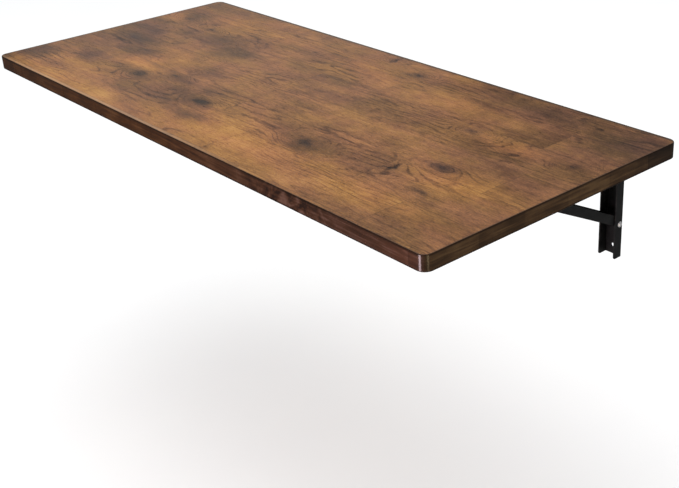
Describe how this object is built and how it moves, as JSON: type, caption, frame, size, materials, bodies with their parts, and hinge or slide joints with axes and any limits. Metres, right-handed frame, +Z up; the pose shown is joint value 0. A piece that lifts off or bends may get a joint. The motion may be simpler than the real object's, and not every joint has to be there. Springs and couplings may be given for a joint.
{
  "type": "wall-mounted folding desk",
  "caption": "Solid wood wall desk top on two black steel fold-down brackets, with a sliding brace and a press-to-release lock on each.",
  "frame": {"origin": "wall plane, middle of the width, centre of the rectangle of wall screw holes", "axes": "+X right along the wall seen from the room, front edge faces -Y, +Z up; raised and locked at rest"},
  "size_m": [1.2, 0.51, 0.225],
  "materials": {
    "wood_top": "warm brown stained hardwood under satin-gloss varnish, darker edges",
    "black_steel": "satin black powder coat on pressed steel",
    "bright_zinc": "bright zinc plate",
    "spring_steel": "oiled spring wire",
    "nylon": "natural nylon",
    "black_vinyl": "matt black dipped vinyl"
  },
  "bodies": {
    "wall": {"wall_channel_left": "black_steel", "brace_rivet_left": "bright_zinc", "wall_channel_right": "black_steel", "brace_rivet_right": "bright_zinc"},
    "top": {"tabletop": "wood_top", "support_arm_left": "black_steel", "arm_pivot_rivet_left": "bright_zinc", "arm_pivot_bushes_left": "nylon", "arm_screws_left": "bright_zinc", "lever_rivet_left": "bright_zinc", "lock_spring_left": "spring_steel", "support_arm_right": "black_steel", "arm_pivot_rivet_right": "bright_zinc", "arm_pivot_bushes_right": "nylon", "arm_screws_right": "bright_zinc", "lever_rivet_right": "bright_zinc", "lock_spring_right": "spring_steel"},
    "brace_left": {"brace_left": "black_steel", "latch_pin_left": "bright_zinc"},
    "slider_left": {"slide_rivets_left": "bright_zinc"},
    "lever_left": {"lock_lever_left": "black_steel", "lever_grip_left": "black_vinyl"},
    "brace_right": {"brace_right": "black_steel", "latch_pin_right": "bright_zinc"},
    "slider_right": {"slide_rivets_right": "bright_zinc"},
    "lever_right": {"lock_lever_right": "black_steel", "lever_grip_right": "black_vinyl"}
  },
  "joints": [
    {"name": "table_fold", "type": "hinge", "parent": "wall", "child": "top", "pos_m": [0, -0.0075, 0.0905], "axis": [1, 0, 0], "range_deg": [0, 90], "stiffness_Nm_per_rad": 2.5, "springref_deg": -68.75},
    {"name": "brace_pivot_left", "type": "hinge", "parent": "wall", "child": "brace_left", "pos_m": [-0.49, -0.0075, -0.0265], "axis": [1, 0, 0], "range_deg": [0, 116.22]},
    {"name": "slide_left", "type": "slide", "parent": "top", "child": "slider_left", "axis": [0, -1, 0], "range_m": [0, 0.14705]},
    {"name": "lever_press_left", "type": "hinge", "parent": "top", "child": "lever_left", "pos_m": [-0.49, -0.2075, 0.107], "axis": [-1, 0, 0], "range_deg": [0, 6], "stiffness_Nm_per_rad": 0.6, "springref_deg": -11.46, "deforming": ["lock_spring_left"]},
    {"name": "brace_pivot_right", "type": "hinge", "parent": "wall", "child": "brace_right", "pos_m": [0.49, -0.0075, -0.0265], "axis": [1, 0, 0], "range_deg": [0, 116.22]},
    {"name": "slide_right", "type": "slide", "parent": "top", "child": "slider_right", "axis": [0, -1, 0], "range_m": [0, 0.14705]},
    {"name": "lever_press_right", "type": "hinge", "parent": "top", "child": "lever_right", "pos_m": [0.49, -0.2075, 0.107], "axis": [-1, 0, 0], "range_deg": [0, 6], "stiffness_Nm_per_rad": 0.6, "springref_deg": -11.46, "deforming": ["lock_spring_right"]}
  ],
  "couplings": [
    {"joint": "brace_pivot_left", "follows": "table_fold", "ratio": 1.2912},
    {"joint": "slide_left", "follows": "table_fold", "m_per_rad": 0.093602},
    {"joint": "brace_pivot_right", "follows": "table_fold", "ratio": 1.2912},
    {"joint": "slide_right", "follows": "table_fold", "m_per_rad": 0.093602}
  ]
}
